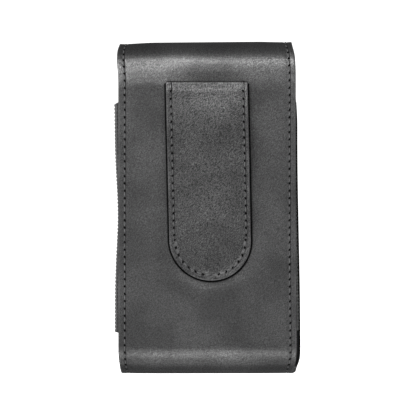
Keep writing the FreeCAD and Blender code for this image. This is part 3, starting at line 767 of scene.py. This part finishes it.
def make_loop():
    """The strap's grained leather, and the webbing behind it, which stands out round the strap's edge as a
    near-black line of painted contact shadow.
    """
    route = LOOP_ROUTE
    fold_start = route.stretches[-2][0]

    def relief(x, along, inset, run):
        sewn_foot = 1 - smooth(along, LOOP_SEWN - 1 * MM, LOOP_SEWN + 3 * MM)
        line = LOOP_SEAM_INSET + (ANCHOR_INSET - LOOP_SEAM_INSET) * sewn_foot
        depth = (0.16 + 0.1 * sewn_foot) * MM
        pressed = -depth * hump(inset, line, 0.75 * MM)
        scallop = 0.05 * MM * math.cos(2 * math.pi * run / LOOP_PITCH) * hump(inset, line, 1.2 * MM)
        crown = 0.35 * MM * smooth(inset, line, line + 7 * MM)
        full = 0.65 * MM * hump(along, fold_start + 0.3 * MM, 3.2 * MM)
        wave = 0.12 * MM * math.sin(along / (11 * MM)) * math.sin(x / (9 * MM) + along / (19 * MM))
        return pressed + scallop + crown + full + wave * smooth(inset, 2 * MM, 8 * MM)

    def place(x, along, height):
        point, out = route.spot(along)
        inset, run = loop_seam(x, along)
        hidden = 1 - smooth(along, route.length - LOOP_HIDDEN, route.length - 14 * MM)
        square = 1.0
        if out.y > 0:
            square = (abs(out.x) ** FOLD_POWER + abs(out.y) ** FOLD_POWER) ** (-1 / FOLD_POWER)
        above = STRAP * square + height + relief(x, along, inset, run) * (1 + height / STRAP_SKIN) * hidden
        return loop_settle((x, point.x + out.x * above, point.y + out.y * above))

    def outer_length(along):
        turned = min(max(along - fold_start, 0.0) / LOOP_PINCH, math.pi - LOOP_TUCK)
        return along + turned * STRAP

    gaps = [0.7, 1.2, 1.7, 2.2, 2.7, 3.2, 4.0, 5.0, 6.2]
    rows = [0.0] + [gap * MM for gap in gaps] + [row for row in route.rows(*STRAP_ROWS) if row > 6.8 * MM]
    across = columns(LOOP_HALF, 1.6 * MM)
    piece = slab("loop_strap", rows, across, STRAP_SKIN, STRAP_LEATHER, place, loop_seam, loop_shape,
                 rim=0.35 * MM, stretch=outer_length)
    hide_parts("loop_leather")
    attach(piece, "case")

    # The webbing is wider than the strap so that its near-black rim shows as painted contact shadow.
    half = LOOP_HALF + BACKING_SHADOW_RIM

    def place_backing(x, along, height):
        point, out = route.spot(along)
        above = STRAP - STRAP_SKIN + height
        return loop_settle((x, point.x + out.x * above, point.y + out.y * above))

    near_foot = [gap * MM - BACKING_SHADOW_RIM for gap in (0, 0.7, 1.5, 2.5, 3.6, 5.0)]
    rows = near_foot + [row for row in rows if row > 5.2 * MM]
    backing = slab("loop_backing", rows, columns(half, 3 * MM), STRAP - STRAP_SKIN, WEBBING, place_backing,
                   lambda x, along: rim_place(x, along, half, 0.0, LOOP_HALF, half, -1, ANCHOR_INSET),
                   lambda x, along: round_end(x, along, 0.0, LOOP_HALF, half, -1))
    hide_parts("loop_core", "loop_lining")
    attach(backing, "case")
    return place


# Stitches.

def add_stitch(mesh_data, start, finish, out, width):
    """One stitch: a slim bead of thread between two holes, its ends sinking into the leather."""
    along = finish - start
    length = along.length
    along.normalize()
    across = out.cross(along).normalized()
    turn = Matrix((along, across, out)).transposed().to_4x4()
    middle = Matrix.Translation((start + finish) / 2) @ turn
    size = Matrix.Diagonal((length * 0.5, width / 2, width * 0.42, 1))
    bmesh.ops.create_uvsphere(mesh_data, u_segments=8, v_segments=6, radius=1.0, matrix=middle @ size)


def sew(name, node, body, runs, place, pitch, width, seed):
    """Stitches along runs; each run is a function from length to flat place, with its start and end lengths."""
    dice = random.Random(seed)
    mesh_data = bmesh.new()
    for spot, start, stop in runs:
        first = math.ceil(start / pitch)
        for k in range(first, math.floor(stop / pitch)):
            ends = []
            for part in STITCH_ENDS:
                x, along = spot((k + part) * pitch)
                slant = (part - 0.5) * 0.22 * MM + dice.uniform(-0.05, 0.05) * MM
                ends.append((x + slant, along))
            points = [place(x, along, 0.0) for x, along in ends]
            raised = [place(x, along, 1.0 * MM) for x, along in ends]
            out = (raised[0] - points[0] + raised[1] - points[1]).normalized()
            lift = out * dice.uniform(0.02, 0.09) * MM
            add_stitch(mesh_data, points[0] + lift, points[1] + lift, out, width * dice.uniform(0.9, 1.1))
    for face in mesh_data.faces:
        face.smooth = True
    piece = link(name, mesh_from(mesh_data, name), THREAD)
    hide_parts(node)
    if body:
        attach(piece, body)
    return piece


def make_case_threads():
    """The two side seams, and the row across the pocket's mouth."""
    place = outer_place(WALL_ROUTE, shell_seam)
    side = HALF_WIDTH - SEAM_INSET
    length = WALL_ROUTE.length
    for name, node, sign in (("left_seam_stitches", "left_seam_thread", -1),
                             ("right_seam_stitches", "right_seam_thread", 1)):
        runs = [(lambda run, sign=sign: (sign * side, run), 3 * MM, length)]
        piece = sew(name, node, None, runs, place, SEAM_PITCH, SEAM_THREAD, 11 + sign)
        bend_rear(piece)
    runs = [(lambda run: (run, SEAM_INSET), -side, side)]
    sew("mouth_stitches", "mouth_thread", "case", runs, place, SEAM_PITCH, SEAM_THREAD, 17)


def make_flap_threads():
    """One row down each side of the flap, round its corners and along its end."""
    route = FLAP_ROUTE
    _, seam = flap_shape(route.length)
    corner_x = HALF_WIDTH - FLAP_CORNER
    corner = route.length - FLAP_CORNER
    radius = FLAP_CORNER - SEAM_INSET
    quarter = radius * math.pi / 2

    def place(x, along, height):
        point, out = route.spot(along)
        inset, run = seam(x, along)
        above = height + panel_relief(inset, run, x, point.y)
        return settle((x, point.x + out.x * above, point.y + out.y * above))

    def spot(run, sign):
        if run < corner:
            return sign * (HALF_WIDTH - SEAM_INSET), run
        if run < corner + quarter:
            angle = (run - corner) / radius
            return sign * (corner_x + radius * math.cos(angle)), corner + radius * math.sin(angle)
        return sign * (corner_x - (run - corner - quarter)), route.length - SEAM_INSET

    runs = [(lambda run, sign=sign: spot(run, sign), 0.0, corner + quarter + corner_x) for sign in (-1, 1)]
    piece = sew("flap_stitches", "flap_front_thread", None, runs, place, SEAM_PITCH, SEAM_THREAD, 23)
    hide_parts("flap_top_threads")
    bend_front(piece)


def make_loop_stitches(place):
    """Both sides of the strap, the U at its foot with its back-tacks, and the hidden tab's row."""
    side = LOOP_HALF - LOOP_SEAM_INSET
    fold_end = LOOP_ROUTE.length - LOOP_HIDDEN
    runs = [(lambda run, sign=sign: (sign * side, run + LOOP_RUN_START), LOOP_SEWN + 1 * MM - LOOP_RUN_START,
             fold_end - LOOP_RUN_START) for sign in (-1, 1)]
    sew("loop_side_stitches", "loop_side_threads", "case", runs, place, LOOP_PITCH, 0.5 * MM, 31)
    radius = LOOP_HALF - ANCHOR_INSET

    def foot(run, sign, shift=0.0):
        """The U round the foot, with run counted the same way as the strap's own sewing marks."""
        angle = (run + ANCHOR_QUARTER) / radius
        reach = radius + shift
        return sign * reach * math.cos(angle), LOOP_HALF - reach * math.sin(angle)

    start = -ANCHOR_QUARTER
    runs = [(lambda run, sign=sign: foot(run, sign), start, 0.1 * MM) for sign in (-1, 1)]
    tacks = [(lambda run, sign=sign: foot(run, sign, -0.45 * MM), start, start + 9 * MM) for sign in (-1, 1)]
    sew("loop_anchor_stitches", "loop_anchor_thread", "case", runs + tacks, place, ANCHOR_PITCH, 0.72 * MM, 37)
    level = LOOP_ROUTE.length - 4 * MM
    row = [(lambda run: (run, level), -12 * MM, 12 * MM)]

    def tab_place(x, along, height):
        point, out = LOOP_ROUTE.spot(along)
        return loop_settle((x, point.x - out.x * height, point.y - out.y * height))

    sew("loop_tab_stitches", "loop_top_thread", "case", row, tab_place, ANCHOR_PITCH, SEAM_THREAD, 41)


make_shell()
make_flap()
make_gusset("gusset_elastic_left", "left_gusset", -1)
make_gusset("gusset_elastic_right", "right_gusset", 1)
strap_place = make_loop()
make_case_threads()
make_flap_threads()
make_loop_stitches(strap_place)
for node in ("snap_post", "snap_magnet", "snap_flap_washer", "snap_pocket_washer"):
    shown = frame["nodes"][node]
    shown.data.materials.clear()
    shown.data.materials.append(METAL)


# Stage, light and camera.

def make_stage():
    mesh_data = bmesh.new()
    bmesh.ops.create_grid(mesh_data, x_segments=1, y_segments=1, size=3.0)
    material, tree, surface = new_material("pale_floor")
    place = add(tree, "ShaderNodeTexCoord").outputs["Object"]
    paper = mix_colour(tree, noise(tree, place, 4.0), grey(0.88), grey(0.9))
    tree.links.new(paper, surface.inputs["Base Color"])
    surface.inputs["Roughness"].default_value = 0.9
    surface.inputs["Emission Color"].default_value = (1, 1, 1, 1)
    surface.inputs["Emission Strength"].default_value = 1.2
    floor = link("floor", mesh_from(mesh_data, "floor"), material)
    floor.visible_diffuse = False
    floor.visible_glossy = False
    floor.visible_shadow = False


def make_world():
    """White behind the object; for its light, a room that is bright in front of it and dim behind and above."""
    world = bpy.data.worlds.new("studio")
    bpy.context.scene.world = world
    world.use_nodes = True
    tree = world.node_tree
    backdrop = tree.nodes["Background"]
    seen = add(tree, "ShaderNodeLightPath").outputs["Is Camera Ray"]
    way = add(tree, "ShaderNodeTexCoord").outputs["Generated"]
    facing = span(tree, axes(tree, way)["Y"], -0.1, 0.95, 0.1, 0.62)
    below = span(tree, axes(tree, way)["Z"], -1.0, -0.2, 0.2, 0.0)
    shaded = span(tree, axes(tree, way)["X"], -0.95, -0.35, 0.25, 1.0)
    lit = math_node(tree, "MULTIPLY", math_node(tree, "ADD", facing, below), shaded)
    tree.links.new(math_node(tree, "MULTIPLY_ADD", seen, 1.2, lit), backdrop.inputs["Strength"])
    backdrop.inputs["Color"].default_value = (1, 1, 1, 1)


def make_light(name, azimuth, elevation, distance, width, height, power):
    """A soft box aimed at the pouch; azimuth 0 is straight behind the camera and positive is towards +X."""
    light = bpy.data.lights.new(name, "AREA")
    light.shape = "RECTANGLE"
    light.size = width
    light.size_y = height
    light.energy = power
    lamp = bpy.data.objects.new(name, light)
    bpy.context.collection.objects.link(lamp)
    turn, rise = math.radians(azimuth), math.radians(elevation)
    aim = Vector((0, BACK, TOP / 2))
    way = Vector((math.sin(turn) * math.cos(rise), math.cos(turn) * math.cos(rise), math.sin(rise)))
    lamp.location = aim + way * distance
    lamp.rotation_mode = "QUATERNION"
    lamp.rotation_quaternion = way.to_track_quat("Z", "Y")


CAMERA_LENS = 310
CAMERA_AWAY = 1.5
CAMERA_ASIDE = -0.4 * MM


def make_camera():
    camera = bpy.data.cameras.new("camera")
    camera.lens = CAMERA_LENS
    camera.sensor_width = 36
    viewer = bpy.data.objects.new("camera", camera)
    bpy.context.collection.objects.link(viewer)
    viewer.location = (CAMERA_ASIDE, BACK + CAMERA_AWAY, TOP / 2)
    viewer.rotation_euler = (math.radians(90), 0, math.radians(180))
    bpy.context.scene.camera = viewer


make_stage()
make_world()
# Name, azimuth, elevation, distance, width, height and power of each soft box.
make_light("key", 18, 49.5, 1.0, 0.8, 0.24, 10.8)
make_light("low_card", 6, -37, 1.0, 1.0, 0.44, 9)
make_light("floor_card", 4, -70, 1.0, 1.0, 0.5, 2.8)
make_light("mid_card", 10, 23, 1.0, 0.9, 0.34, 3.8)
make_light("side_fill", 62, 22, 1.1, 0.5, 0.8, 5)
make_camera()
bpy.context.scene.view_settings.view_transform = "Standard"
